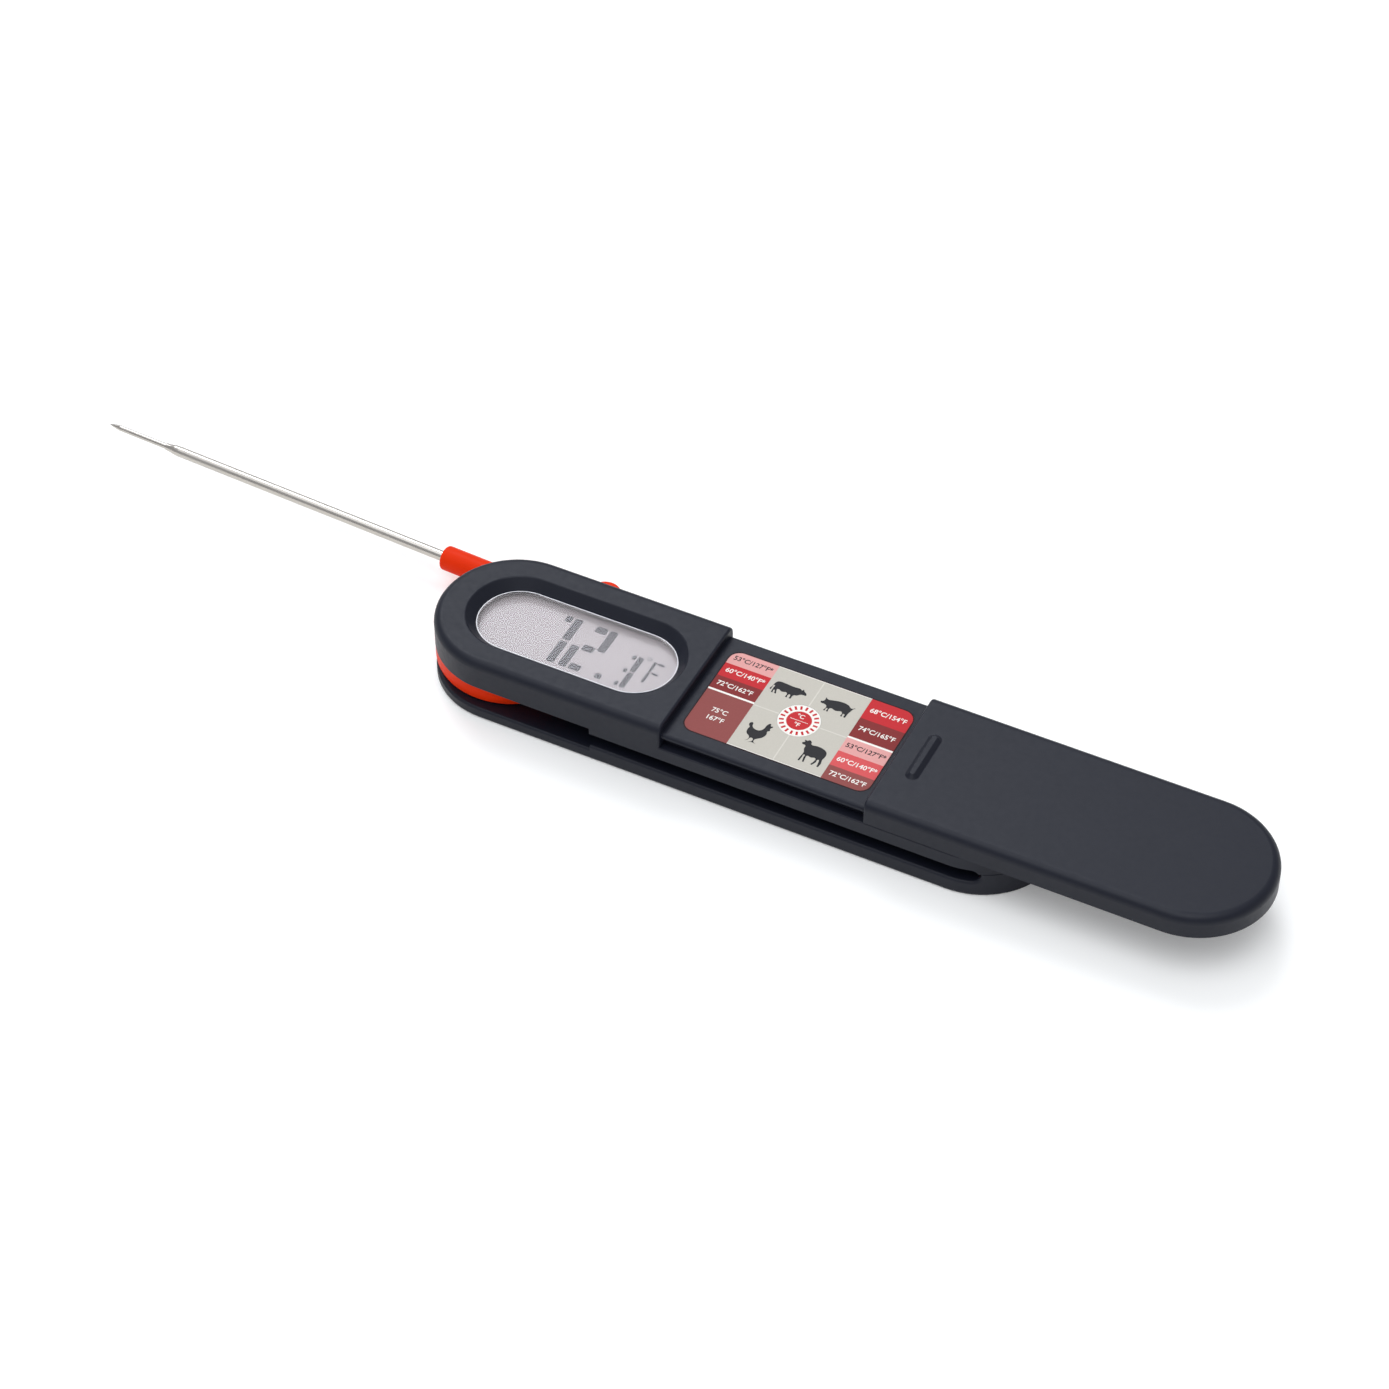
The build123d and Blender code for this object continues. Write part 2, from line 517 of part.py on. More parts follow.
# ---- probe, drawn with the pivot at the origin and the probe along -X ----
def make_probe_hub():
    """Disc with a thumb tab and an arm whose round collar holds the probe."""
    disc = Pos(0, 0, HUB_Z0) * extrude(hub_outline(), HUB_Z1 - HUB_Z0)
    disc = fillet(edges_at(disc, HUB_Z0) + edges_at(disc, HUB_Z1), 0.4)
    collar = arm_rod(COLLAR_R, 0.0, COLLAR_END)
    collar = fillet(collar.faces().sort_by(Axis.X)[0].edges(), FOOT_ROUND)
    web = block(-22, 0, ARM_OFFSET - COLLAR_R, ARM_OFFSET + COLLAR_R, HUB_Z0 + 1, HUB_Z1 - 1)
    hub = disc + collar + (web & drum(0, 0, 22.1, 0, 12))
    hub = hub - drum(0, 0, SLEEVE_R + 0.08, 0, 12) - arm_rod(PROBE_R, ARM_BORE_START, COLLAR_END + 5)
    magnet_x, magnet_y = polar(MAGNET_ORBIT, MAGNET_ANGLE)
    return open_pose(hub - stop_groove() - wire_way() - drum(magnet_x, magnet_y, MAGNET_R, MAGNET_Z, 12))


def hub_outline():
    """Round disc running smoothly into the thumb tab."""
    tab_x, tab_y = polar(TAB_REACH, TAB_ANGLE)
    neck = Rot(0, 0, TAB_ANGLE) * Pos(TAB_REACH / 2, 0) * Rectangle(TAB_REACH, 2 * TAB_RADIUS)
    outline = Circle(HUB_R) + neck + Pos(tab_x, tab_y) * Circle(TAB_RADIUS)
    inner_corners = [v for v in outline.vertices() if abs(math.hypot(v.X, v.Y) - HUB_R) < 0.05]
    return fillet(inner_corners, 3.0)


def stop_groove():
    """Arc groove in the hub's top face that the fold stop runs in."""
    arc = CenterArc((0, 0), STOP_R, STOP_ANGLE + OVERTRAVEL, -FOLD_ANGLE)
    return Pos(0, 0, 8.0) * extrude(SlotArc(arc, 2.2), 3)


def wire_way():
    """Round passage for the sensor's leads, from the arm's bore to the pivot bore."""
    bend, mouth = Vector(-8.0, ARM_OFFSET, PROBE_Z), Vector(-1.5, 3.0, PROBE_Z)
    return arm_rod(0.8, 7.5, ARM_BORE_START + 1) + rod_between(bend, mouth, 0.8)


def make_hub_magnet():
    """Small magnet that tells the reed switch that the probe is open."""
    x, y = polar(MAGNET_ORBIT, MAGNET_ANGLE)
    return open_pose(drum(x, y, MAGNET_R, MAGNET_Z, MAGNET_Z + 2))


def make_probe_tube():
    """Drawn tube, swaged down to the reduced tip at its shoulder."""
    return open_pose(turned([
        (ARM_BORE_START, PROBE_BORE_R), (ARM_BORE_START, PROBE_R), (SHOULDER_START, PROBE_R),
        (SHOULDER_START + 1.2, 1.22), (SHOULDER_START + 2.6, 0.98), (SHOULDER_END, TIP_R + 0.14),
        (SHOULDER_END, TIP_R), (SHOULDER_START + 0.8, TIP_R), (SHOULDER_START, PROBE_BORE_R)]))


def make_probe_tip():
    """Thin closed tube with a ground point."""
    return open_pose(turned([
        (SHOULDER_START + 1.0, TIP_BORE_R), (SHOULDER_START + 1.0, TIP_R), (POINT_START, TIP_R),
        (POINT_START + 1.8, 0.42), (POINT_END - 0.1, 0.09), (POINT_END, 0.0), (POINT_START, 0.0),
        (POINT_START - 0.5, TIP_BORE_R)]))


def make_temperature_sensor():
    """Bead just behind the point."""
    return open_pose(arm_rod(0.4, POINT_START - 2.6, POINT_START - 0.8))


def make_sensor_leads():
    """Two fine wires from the bead to the pivot bore."""
    wire_r = 0.12
    leads = []
    for dz in (-0.22, 0.22):
        bend = Vector(-8.0, ARM_OFFSET, PROBE_Z + dz)
        run = arm_rod(wire_r, 8.0, POINT_START - 2.7, dz)
        inner = rod_between(bend, Vector(-2.6, 5.2, PROBE_Z + dz), wire_r)
        leads.append(run + Pos(bend) * Sphere(wire_r) + inner)
    return open_pose(Compound(leads))


# ---- cover ----
def make_sliding_cover():
    """Guard that slides over the deck on two rail lips."""
    round_x = SPAN + COVER_TRAVEL
    cover = slab(0, round_x, HALF_WIDTH, COVER_Z0, HEIGHT)
    cover = fillet(edges_at(cover, HEIGHT), TOP_ROUND) & block(COVER_X0, FAR_X, -FAR, FAR, 0, FAR)
    cover = fillet(end_outline(cover, COVER_X0, COVER_Z0), EDGE_ROUND)
    lips = block(COVER_X0, COVER_X0 + LIP_LENGTH, -FAR, FAR, COVER_Z0, GROOVE_TOP_Z - 0.15)
    lips = lips - block(COVER_X0 - 1, COVER_X0 + LIP_LENGTH + 1, -LIP_HALF_WIDTH, LIP_HALF_WIDTH, 0, 20)
    cover = cover - (slab(0, round_x, COVER_INNER_R, 0, COVER_CEILING_Z) - lips)
    cover = cover + grip_rib()
    foot = edges_at(cover, HEIGHT, lambda c: abs(c.X - RIB_X) < RIB_WIDTH and abs(c.Y) < RIB_LENGTH / 2 + 0.1)
    return fillet(foot, 0.25)


def grip_rib():
    """Low ridge across the cover with sloping flanks."""
    foot = Pos(RIB_X, 0, HEIGHT) * Rot(0, 0, 90) * SlotOverall(RIB_LENGTH, RIB_WIDTH)
    ridge = extrude(foot, RIB_HEIGHT, taper=RIB_SLOPE)
    return fillet(edges_at(ridge, HEIGHT + RIB_HEIGHT), 0.2)


PARTS = {
    "lower_housing": make_lower_housing,
    "upper_housing": make_upper_housing,
    "bay_plate": make_bay_plate,
    "display_lens": make_display_lens,
    "lens_gasket": make_lens_gasket,
    "lcd_panel": make_lcd_panel,
    "lcd_backing": make_lcd_backing,
    "lcd_flex": make_lcd_flex,
    "guide_label": make_guide_label,
    "unit_button": make_unit_button,
    "dome_switch": make_dome_switch,
    "circuit_board": make_circuit_board,
    "controller_chip": make_controller_chip,
    "board_components": make_board_components,
    "battery_cell": make_battery_cell,
    "battery_contact_minus": make_contact_minus,
    "battery_contact_plus": make_contact_plus,
    "battery_door": make_battery_door,
    "door_seal": make_door_seal,
    "case_screws": make_case_screws,
    "bay_screws": make_bay_screws,
    "pivot_screw": make_pivot_screw,
    "pivot_sleeve": make_pivot_sleeve,
    "pivot_washer_lower": make_lower_washer,
    "pivot_washer_upper": make_upper_washer,
    "reed_switch": make_reed_switch,
    "probe_hub": make_probe_hub,
    "hub_magnet": make_hub_magnet,
    "probe_tube": make_probe_tube,
    "probe_tip": make_probe_tip,
    "temperature_sensor": make_temperature_sensor,
    "sensor_leads": make_sensor_leads,
    "sliding_cover": make_sliding_cover,
}

os.makedirs("parts", exist_ok=True)
for name, make in PARTS.items():
    export_step(make(), f"parts/{name}.step")
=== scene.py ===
import math

import bpy
from mathutils import Matrix, Vector


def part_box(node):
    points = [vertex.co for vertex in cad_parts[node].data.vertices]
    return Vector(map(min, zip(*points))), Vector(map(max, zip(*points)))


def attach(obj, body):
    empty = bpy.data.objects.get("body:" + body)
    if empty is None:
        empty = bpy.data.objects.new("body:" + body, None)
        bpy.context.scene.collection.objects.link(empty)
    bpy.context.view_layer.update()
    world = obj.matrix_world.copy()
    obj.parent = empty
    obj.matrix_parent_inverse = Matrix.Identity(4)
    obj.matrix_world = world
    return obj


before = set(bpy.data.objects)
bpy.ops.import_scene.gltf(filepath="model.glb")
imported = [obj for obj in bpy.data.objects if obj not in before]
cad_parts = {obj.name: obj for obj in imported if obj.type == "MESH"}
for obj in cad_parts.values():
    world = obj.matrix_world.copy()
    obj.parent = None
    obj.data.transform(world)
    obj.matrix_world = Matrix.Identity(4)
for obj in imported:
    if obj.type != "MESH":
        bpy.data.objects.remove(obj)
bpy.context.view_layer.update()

# Outlines, sizes and heights below are in millimetres, and become metres through MM.
MM = 0.001
TOP_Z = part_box("guide_label")[1].z / MM          # top of the label and the unit button
INK_MM = 0.02                                    # thickness of one printed layer


# ---------------------------------------------------------------- materials
HOUSING_SHINE = 0.235                            # specular level of the matt slate plastic
PRINT_SHINE = 0.15                               # specular level of inks, the button and the display


class Shader:
    """A Principled material, with short calls for the nodes that drive it."""

    def __init__(self, name, colour, roughness, metallic=0.0):
        self.material = bpy.data.materials.new(name)
        self.material.use_nodes = True
        self.tree = self.material.node_tree
        self.tree.nodes.clear()
        output = self.tree.nodes.new("ShaderNodeOutputMaterial")
        self.bsdf = self.tree.nodes.new("ShaderNodeBsdfPrincipled")
        self.tree.links.new(self.bsdf.outputs[0], output.inputs["Surface"])
        self.colour = (*colour, 1.0)
        self.set("Base Color", self.colour)
        self.set("Roughness", roughness)
        self.set("Metallic", metallic)
        self.place = self.tree.nodes.new("ShaderNodeTexCoord").outputs["Object"]

    def set(self, socket, value):
        self.bsdf.inputs[socket].default_value = value
        return self

    def node(self, kind, links=(), **values):
        """New node with plain input values by name, and links as (input, output socket) pairs."""
        made = self.tree.nodes.new(kind)
        for key, value in values.items():
            made.inputs[key.replace("_", " ")].default_value = value
        for socket, source in links:
            self.tree.links.new(source, made.inputs[socket])
        return made

    def coords(self, stretch=(1, 1, 1), turn=0.0):
        """Object coordinates, scaled along each axis and turned about the upright one."""
        mapping = self.node("ShaderNodeMapping", [("Vector", self.place)])
        mapping.inputs["Scale"].default_value = stretch
        mapping.inputs["Rotation"].default_value = (0, 0, turn)
        return mapping.outputs[0]

    def noise(self, size_mm, detail=2.0, stretch=(1, 1, 1), turn=0.0):
        """Noise whose features are about size_mm across."""
        links = [("Vector", self.coords(stretch, turn))]
        return self.node("ShaderNodeTexNoise", links, Scale=1 / (size_mm * MM), Detail=detail).outputs["Fac"]

    def cells(self, size_mm):
        """Distance from the nearest of scattered points about size_mm apart."""
        links = [("Vector", self.place)]
        return self.node("ShaderNodeTexVoronoi", links, Scale=1 / (size_mm * MM)).outputs["Distance"]

    def spread(self, factor, low, high, start=0.3, end=0.7):
        """Maps a factor between start and end to the range low to high."""
        made = self.node("ShaderNodeMapRange", [("Value", factor)])
        for key, value in (("From Min", start), ("From Max", end), ("To Min", low), ("To Max", high)):
            made.inputs[key].default_value = value
        return made.outputs[0]

    def mix(self, factor, first, second):
        """Colour mix; first and second are colours or sockets."""
        made = self.tree.nodes.new("ShaderNodeMix")
        made.data_type = "RGBA"
        self.tree.links.new(factor, made.inputs["Factor"])
        for socket, value in zip((made.inputs[6], made.inputs[7]), (first, second)):
            if isinstance(value, bpy.types.NodeSocket):
                self.tree.links.new(value, socket)
            else:
                socket.default_value = (*value[:3], 1.0)
        return made.outputs[2]

    def drive(self, socket, source):
        self.tree.links.new(source, self.bsdf.inputs[socket])
        return self

    def bump(self, layers):
        """Adds bumps, each a (height socket, height in mm, strength) triple."""
        normal = None
        for height, depth_mm, strength in layers:
            links = [("Height", height)]
            if normal is not None:
                links.append(("Normal", normal))
            normal = self.node("ShaderNodeBump", links, Distance=depth_mm * MM, Strength=strength).outputs[0]
        return self.drive("Normal", normal)


def tinted(colour, gain):
    """The colour made lighter or darker by a factor."""
    return tuple(min(1.0, channel * gain) for channel in colour)


def moulded(name, colour, roughness, grain_mm=0.22, depth_mm=0.006, strength=0.35, specular=0.3):
    """Injection moulded plastic: spark-eroded grain, faint mottling and uneven gloss."""
    shader = Shader(name, colour, roughness)
    shader.set("Specular IOR Level", specular)
    grain = shader.noise(grain_mm, 2.0)
    drift = shader.noise(9.0, 3.0)
    shader.drive("Base Color", shader.mix(drift, tinted(colour, 0.93), tinted(colour, 1.07)))
    gloss = shader.spread(shader.noise(1.3, 4.0), roughness - 0.035, roughness + 0.045)
    shader.drive("Roughness", gloss)
    shader.bump([(grain, depth_mm, strength)])
    return shader.material


def drawn_steel(name, colour, roughness, turn):
    """Stainless steel with fine lines along the probe."""
    shader = Shader(name, colour, roughness, 1.0)
    lines = shader.noise(0.16, 3.0, (0.012, 1, 1), turn)
    patches = shader.noise(6.0, 2.0, (0.3, 1, 1), turn)
    shader.drive("Roughness", shader.spread(patches, roughness - 0.05, roughness + 0.06))
    shader.drive("Base Color", shader.mix(lines, tinted(colour, 0.86), tinted(colour, 1.08)))
    shader.bump([(lines, 0.004, 0.35)])
    return shader.material


def plated(name, colour, roughness):
    """Turned or stamped plated metal with a soft irregular finish."""
    shader = Shader(name, colour, roughness, 1.0)
    blotch = shader.noise(1.1, 4.0)
    shader.drive("Roughness", shader.spread(blotch, roughness - 0.06, roughness + 0.10))
    shader.drive("Base Color", shader.mix(blotch, tinted(colour, 0.88), tinted(colour, 1.05)))
    shader.bump([(shader.noise(0.15, 2.0), 0.002, 0.3)])
    return shader.material


def printed(name, colour, roughness=0.5):
    """Screen-printed ink on film, with a slight orange-peel and a dot-fine unevenness."""
    shader = Shader(name, colour, roughness)
    shader.set("Specular IOR Level", PRINT_SHINE)
    tone = shader.noise(0.35, 3.0)
    shader.drive("Base Color", shader.mix(tone, tinted(colour, 0.94), tinted(colour, 1.05)))
    shader.bump([(shader.noise(0.5, 2.0), 0.003, 0.25)])
    return shader.material


def clear(name, colour, ior, roughness=0.01):
    """Clear moulded plastic or glass. A low index stands for a window without glare."""
    shader = Shader(name, colour, roughness)
    shader.set("Transmission Weight", 1.0).set("IOR", ior)
    shader.bump([(shader.noise(14.0, 1.0), 0.004, 0.15)])
    return shader.material


def circuit_laminate(name):
    """Solder mask over faint copper tracks and pads."""
    mask = (0.012, 0.085, 0.032)
    shader = Shader(name, mask, 0.32)
    bricks = shader.node("ShaderNodeTexBrick", [("Vector", shader.place)], Scale=260.0)
    bricks.inputs["Mortar Size"].default_value = 0.07
    tracks = shader.mix(bricks.outputs["Fac"], mask, (0.03, 0.17, 0.06))
    pads = shader.spread(shader.cells(3.1), 1.0, 0.0, 0.10, 0.13)
    shader.drive("Base Color", shader.mix(pads, tracks, (0.62, 0.56, 0.38)))
    shader.bump([(bricks.outputs["Fac"], 0.02, 0.4), (shader.noise(0.2), 0.004, 0.2)])
    return shader.material


def lcd_surface(name, colour):
    """Reflective liquid crystal panel: pearly grey with a fine reflector grain."""
    shader = Shader(name, colour, 0.45)
    shader.set("Specular IOR Level", PRINT_SHINE)
    pearl = shader.noise(0.28, 3.0, (1, 1, 1), 0.7)
    shade = shader.noise(16.0, 1.0)
    warm = shader.mix(shade, tinted(colour, 0.985), tinted(colour, 1.015))
    shader.drive("Base Color", shader.mix(pearl, warm, tinted(colour, 0.965)))
    shader.bump([(pearl, 0.003, 0.2)])
    return shader.material


SLATE = (0.0082, 0.0096, 0.0170)
ORANGE = (0.73, 0.031, 0.003)
STEEL = (0.54, 0.505, 0.46)
PROBE_TURN = math.radians(2.68)                  # the open probe's angle to the body

LOOKS = {
    "housing": moulded("housing_slate", SLATE, 0.45, specular=HOUSING_SHINE),
    "cover": moulded("cover_slate", SLATE, 0.43, specular=HOUSING_SHINE),
    "inner": moulded("inner_slate", tinted(SLATE, 0.8), 0.55, specular=HOUSING_SHINE),
    "orange": moulded("hub_orange", ORANGE, 0.42, 0.3, 0.004, 0.25, specular=0.06),
    "steel": drawn_steel("probe_steel", STEEL, 0.24, PROBE_TURN),
    "tip": drawn_steel("tip_steel", tinted(STEEL, 0.95), 0.26, PROBE_TURN),
    "lens": clear("lens_acrylic", (0.97, 0.98, 0.98), 1.15),
    "lcd": lcd_surface("lcd_glass", (0.445, 0.395, 0.400)),
    "film": moulded("white_film", (0.80, 0.80, 0.79), 0.45),
    "flex": moulded("flex_polyimide", (0.48, 0.21, 0.035), 0.32, 1.0, 0.003),
    "rubber": moulded("seal_rubber", (0.018, 0.018, 0.019), 0.72, 0.35, 0.010, 0.5),
    "border": printed("label_border", (0.022, 0.006, 0.007)),
    "button": moulded("button_white", (0.759, 0.725, 0.673), 0.45, specular=PRINT_SHINE),
    "board": circuit_laminate("board_green"),
    "resin": moulded("chip_resin", (0.016, 0.016, 0.017), 0.45, 0.12, 0.006, 0.5),
    "cell": plated("cell_can", (0.66, 0.65, 0.63), 0.22),
    "contact": plated("contact_strip", (0.72, 0.66, 0.52), 0.20),
    "screw": plated("screw_zinc", (0.56, 0.56, 0.55), 0.30),
    "bearing": moulded("bearing_white", (0.72, 0.72, 0.69), 0.36, 0.4, 0.004),
    "glass": clear("switch_glass", (0.72, 0.90, 0.80), 1.5),
    "magnet": plated("magnet_nickel", (0.68, 0.67, 0.66), 0.16),
    "bead": moulded("sensor_epoxy", (0.05, 0.03, 0.02), 0.35, 0.3, 0.006),
    "wire": moulded("lead_enamel", (0.45, 0.08, 0.03), 0.30, 0.3, 0.003),
}

NODE_LOOKS = {
    "upper_housing": "housing", "lower_housing": "housing", "sliding_cover": "cover",
    "battery_door": "housing", "bay_plate": "inner", "probe_hub": "orange",
    "probe_tube": "steel", "probe_tip": "tip", "display_lens": "lens", "lcd_panel": "lcd",
    "lcd_backing": "film", "lcd_flex": "flex", "lens_gasket": "rubber", "door_seal": "rubber",
    "guide_label": "border", "unit_button": "button", "circuit_board": "board",
    "controller_chip": "resin", "board_components": "resin", "battery_cell": "cell",
    "battery_contact_plus": "contact", "battery_contact_minus": "contact", "dome_switch": "contact",
    "case_screws": "screw", "bay_screws": "screw", "pivot_screw": "screw", "pivot_sleeve": "bearing",
    "pivot_washer_lower": "bearing", "pivot_washer_upper": "bearing", "reed_switch": "glass",
    "hub_magnet": "magnet", "temperature_sensor": "bead", "sensor_leads": "wire",
}
for node_name, node_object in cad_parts.items():
    node_object.data.materials.clear()
    node_object.data.materials.append(LOOKS[NODE_LOOKS[node_name]])
# light reaches the display straight through its window
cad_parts["display_lens"].visible_shadow = False
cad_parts["display_lens"].visible_diffuse = False


# ---------------------------------------------------------------- flat shapes
def flat_piece(name, outlines, low_mm, high_mm, material, body, resolution=8):
    """Thin solid from closed outlines. An outline is a list of (x, y) or (x, y, "corner") points in mm."""
    curve = bpy.data.curves.new(name, "CURVE")
    curve.dimensions = "2D"
    curve.fill_mode = "BOTH"
    curve.resolution_u = resolution
    curve.extrude = (high_mm - low_mm) / 2 * MM
    for outline in outlines:
        spline = curve.splines.new("BEZIER")
        spline.use_cyclic_u = True
        spline.bezier_points.add(len(outline) - 1)
        for point, at in zip(spline.bezier_points, outline):
            point.co = (at[0] * MM, at[1] * MM, 0)
            kind = "VECTOR" if len(at) > 2 else "AUTO"
            point.handle_left_type = kind
            point.handle_right_type = kind
    return settle(name, curve, (low_mm + high_mm) / 2, material, body)


def settle(name, curve, middle_mm, material, body):
    """Turns a curve or text into a mesh piece at its height, with its material and body."""
    holder = bpy.data.objects.new(name, curve)
    bpy.context.scene.collection.objects.link(holder)
    bpy.context.view_layer.update()
    evaluated = holder.evaluated_get(bpy.context.evaluated_depsgraph_get())
    mesh = bpy.data.meshes.new_from_object(evaluated)
    bpy.data.objects.remove(holder)
    mesh.transform(Matrix.Translation((0, 0, middle_mm * MM)))
    mesh.name = name
    mesh.materials.clear()
    mesh.materials.append(material)
    piece = bpy.data.objects.new(name, mesh)
    bpy.context.scene.collection.objects.link(piece)
    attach(piece, body)
    return piece


def rectangle(x0, x1, y0, y1, radii=(0, 0, 0, 0)):
    """Rectangle outline with a radius for each corner, from low x low y going anticlockwise."""
    corners = [(x0, y0, 180), (x1, y0, 270), (x1, y1, 0), (x0, y1, 90)]
    signs = [(1, 1), (-1, 1), (-1, -1), (1, -1)]
    outline = []
    for (x, y, first), (sx, sy), radius in zip(corners, signs, radii):
        if radius == 0:
            outline.append((x, y, "corner"))
            continue
        for step in range(7):
            angle = math.radians(first + 15 * step)
            centre_x, centre_y = x + sx * radius, y + sy * radius
            outline.append((centre_x + radius * math.cos(angle), centre_y + radius * math.sin(angle), "corner"))
    return outline


def circle(x, y, radius):
    """Circle outline of twelve smooth points."""
    angles = [math.tau * k / 12 for k in range(12)]
    return [(x + radius * math.cos(a), y + radius * math.sin(a)) for a in angles]


TEXT_WEIGHT = 0.014                               # outward growth of a stroke, as a part of the text's size


def lettering(name, lines, size_mm, low_mm, material, body):
    """Generic numbers and unit marks as one thin piece. lines are (text, x, y) in mm."""
    meshes = []
    for text, x, y in lines:
        curve = bpy.data.curves.new(name, "FONT")
        curve.body = text
        curve.size = size_mm * MM
        curve.offset = TEXT_WEIGHT * size_mm * MM
        curve.space_character = 0.98
        curve.extrude = INK_MM / 2 * MM
        curve.align_x = "CENTER"
        curve.align_y = "CENTER"
        curve.resolution_u = 3
        piece = settle(name, curve, low_mm + INK_MM / 2, material, body)
        piece.data.transform(Matrix.Translation((x * MM, y * MM, 0)))
        meshes.append(piece)
    return joined(name, meshes)


def joined(name, pieces):
    """Several pieces with one material made into one."""
    first = pieces[0]
    with bpy.context.temp_override(active_object=first, selected_editable_objects=pieces):
        bpy.ops.object.join()
    first.name = name
    return first


# ---------------------------------------------------------------- guide label
label_low, label_high = (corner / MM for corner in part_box("guide_label"))
EDGE = 0.25                                       # dark border left round the print
X0, X1 = label_low.x + EDGE, label_high.x - EDGE
Y0, Y1 = label_low.y + EDGE, label_high.y - EDGE
LEFT_X = X0 + 11.7                                # inner edge of the left column
RIGHT_X = X1 - 11.2                               # inner edge of the right column
CORNER = 2.8
RULE = 0.55                                       # white rule between the meats
LINE_Z = TOP_Z + INK_MM

button_low, button_high = (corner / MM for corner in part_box("unit_button"))
BUTTON_X = (button_low.x + button_high.x) / 2
BUTTON_Y = (button_low.y + button_high.y) / 2
BUTTON_CAP_R = 5.0
BUTTON_HOLE_R = BUTTON_CAP_R + 0.03               # hole in the print that the cap shows through


INKS = {
    "pink": printed("ink_pink", (0.695, 0.332, 0.310)),
    "red": printed("ink_red", (0.506, 0.019, 0.025)),
    "coral": printed("ink_coral", (0.619, 0.084, 0.087)),
    "maroon": printed("ink_maroon", (0.212, 0.022, 0.022)),
    "brick": printed("ink_brick", (0.253, 0.062, 0.056)),
    "beige": printed("ink_beige", (0.518, 0.487, 0.421)),
    "pale": printed("ink_pale", (0.616, 0.583, 0.515)),
    "white": printed("ink_white", (0.835, 0.799, 0.736)),
    "dark": printed("ink_dark", (0.020, 0.019, 0.021)),
}


def label_panel(name, ink, x0, x1, y0, y1, radii=(0, 0, 0, 0)):
    """One printed field of the label."""
    flat_piece(name, [rectangle(x0, x1, y0, y1, radii)], TOP_Z, TOP_Z + INK_MM, INKS[ink],
               "housing")


# left column, far to near: three steps for one meat, then one large field
LEFT_RULE_Y = 0.1
LEFT_RARE_Y, LEFT_MEDIUM_Y = 9.4, 5.0             # near edges of the first two steps
label_panel("label_left_rare", "pink", X0, LEFT_X, LEFT_RARE_Y, Y1, (0, 0, 0, CORNER))
label_panel("label_left_medium", "red", X0, LEFT_X, LEFT_MEDIUM_Y, LEFT_RARE_Y)
label_panel("label_left_done", "maroon", X0, LEFT_X, LEFT_RULE_Y + RULE, LEFT_MEDIUM_Y)
label_panel("label_left_rule", "white", X0, LEFT_X, LEFT_RULE_Y, LEFT_RULE_Y + RULE)
label_panel("label_left_field", "brick", X0, LEFT_X, Y0, LEFT_RULE_Y, (CORNER, 0, 0, 0))

# right column, far to near: two steps, then three
RIGHT_RULE_Y = 0.25
RIGHT_MEDIUM_Y, RIGHT_RARE_Y, RIGHT_WARM_Y = 7.15, -4.35, -9.2     # near edges of three of the steps
label_panel("label_right_medium", "red", RIGHT_X, X1, RIGHT_MEDIUM_Y, Y1, (0, 0, CORNER, 0))
label_panel("label_right_done", "maroon", RIGHT_X, X1, RIGHT_RULE_Y + RULE, RIGHT_MEDIUM_Y)
label_panel("label_right_rule", "white", RIGHT_X, X1, RIGHT_RULE_Y, RIGHT_RULE_Y + RULE)
label_panel("label_right_rare", "pink", RIGHT_X, X1, RIGHT_RARE_Y, RIGHT_RULE_Y)
label_panel("label_right_warm", "coral", RIGHT_X, X1, RIGHT_WARM_Y, RIGHT_RARE_Y)
label_panel("label_right_hot", "brick", RIGHT_X, X1, Y0, RIGHT_WARM_Y, (0, CORNER, 0, 0))

# centre field, with a round hole for the button and a faint pale cross
centre_field = [rectangle(LEFT_X, RIGHT_X, Y0, Y1), circle(BUTTON_X, BUTTON_Y, BUTTON_HOLE_R)]
flat_piece("label_centre", centre_field, TOP_Z, TOP_Z + INK_MM, INKS["beige"], "housing")
HAIR = 0.16                                       # half width of the cross's lines
cross = [rectangle(LEFT_X, BUTTON_X - BUTTON_HOLE_R, -HAIR, HAIR),
         rectangle(BUTTON_X + BUTTON_HOLE_R, RIGHT_X, -HAIR, HAIR),
         rectangle(BUTTON_X - HAIR, BUTTON_X + HAIR, BUTTON_HOLE_R, Y1 - 2 * HAIR),
         rectangle(BUTTON_X - HAIR, BUTTON_X + HAIR, Y0 + 2 * HAIR, -BUTTON_HOLE_R)]
flat_piece("label_cross", cross, LINE_Z, LINE_Z + INK_MM, INKS["pale"], "housing")
borders = [rectangle(LEFT_X, RIGHT_X, Y1 - HAIR, Y1), rectangle(LEFT_X, RIGHT_X, Y0, Y0 + HAIR)]
flat_piece("label_borders", borders, LINE_Z, LINE_Z + INK_MM, INKS["white"], "housing")

